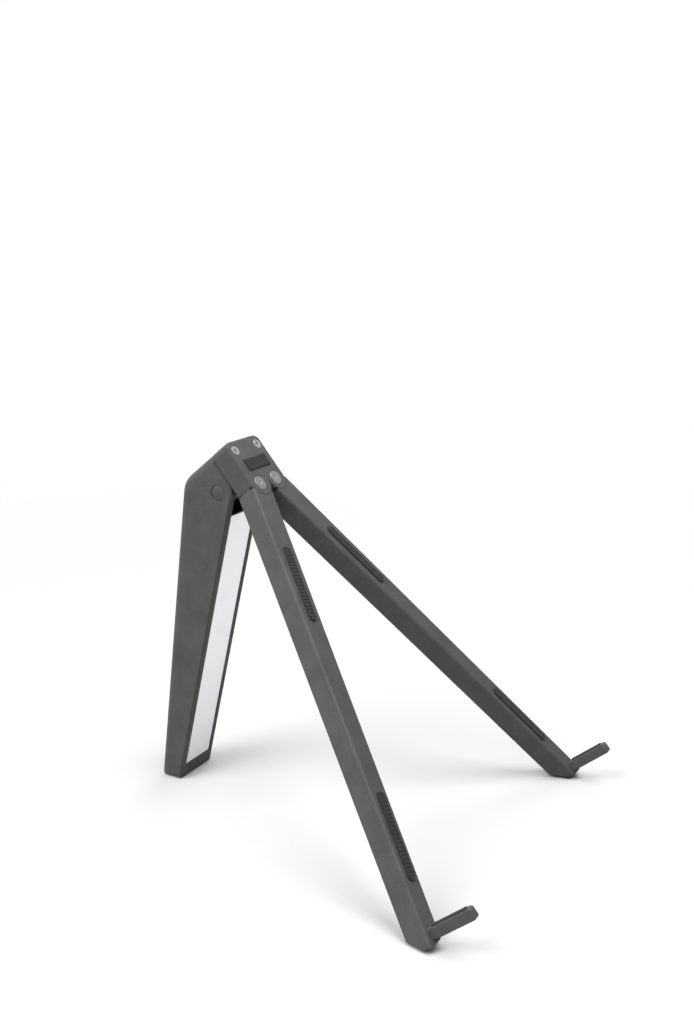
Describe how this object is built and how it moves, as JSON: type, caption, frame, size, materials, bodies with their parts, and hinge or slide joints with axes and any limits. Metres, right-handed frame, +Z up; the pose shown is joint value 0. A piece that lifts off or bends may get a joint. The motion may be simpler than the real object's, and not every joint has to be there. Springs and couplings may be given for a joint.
{
  "type": "folding laptop stand",
  "caption": "Folding tripod stand that tilts a laptop: hooked arms spread in a V from a hub and a rear leg props it; arms swing together and the leg folds flat against them.",
  "frame": {"origin": "middle of the footprint on the table, in the plane of symmetry", "axes": "+X to the user's right, +Y away from the user, +Z up"},
  "size_m": [0.207, 0.2335, 0.202],
  "materials": {
    "moulded_charcoal": "fine moulded grain",
    "soft_rubber": "matt",
    "satin_aluminium": "blasted and anodised satin",
    "plain_steel": "turned",
    "natural_nylon": "plain moulded"
  },
  "bodies": {
    "hub": {"hub_housing": "moulded_charcoal", "hub_cover": "moulded_charcoal", "hub_pad": "soft_rubber", "cover_screws": "plain_steel", "arm_pivot_pin_left": "plain_steel", "arm_pivot_pin_right": "plain_steel", "arm_washers_left": "natural_nylon", "arm_washers_right": "natural_nylon"},
    "arm_left": {"arm_left": "moulded_charcoal", "hook_pad_left": "soft_rubber", "front_rest_pad_left": "soft_rubber", "rear_rest_pad_left": "soft_rubber", "toe_pad_left": "soft_rubber"},
    "arm_right": {"arm_right": "moulded_charcoal", "hook_pad_right": "soft_rubber", "front_rest_pad_right": "soft_rubber", "rear_rest_pad_right": "soft_rubber", "toe_pad_right": "soft_rubber"},
    "leg": {"rear_leg": "moulded_charcoal", "leg_front_plate": "satin_aluminium", "leg_foot_pad": "soft_rubber", "leg_hinge_pin": "plain_steel", "hinge_washers": "natural_nylon", "pin_cap_left": "moulded_charcoal", "pin_cap_right": "moulded_charcoal"}
  },
  "joints": [
    {"name": "arm_left_swing", "type": "hinge", "parent": "hub", "child": "arm_left", "pos_m": [-0.0077, 0.04849, 0.18225], "axis": [0, -0.7705, 0.6374], "range_deg": [0, 21.4]},
    {"name": "arm_right_swing", "type": "hinge", "parent": "hub", "child": "arm_right", "pos_m": [0.0077, 0.04849, 0.18225], "axis": [0, 0.7705, -0.6374], "range_deg": [0, 21.4]},
    {"name": "leg_fold", "type": "hinge", "parent": "hub", "child": "leg", "pos_m": [0, 0.07152, 0.17494], "axis": [-1, 0, 0], "range_deg": [0, 52]}
  ]
}
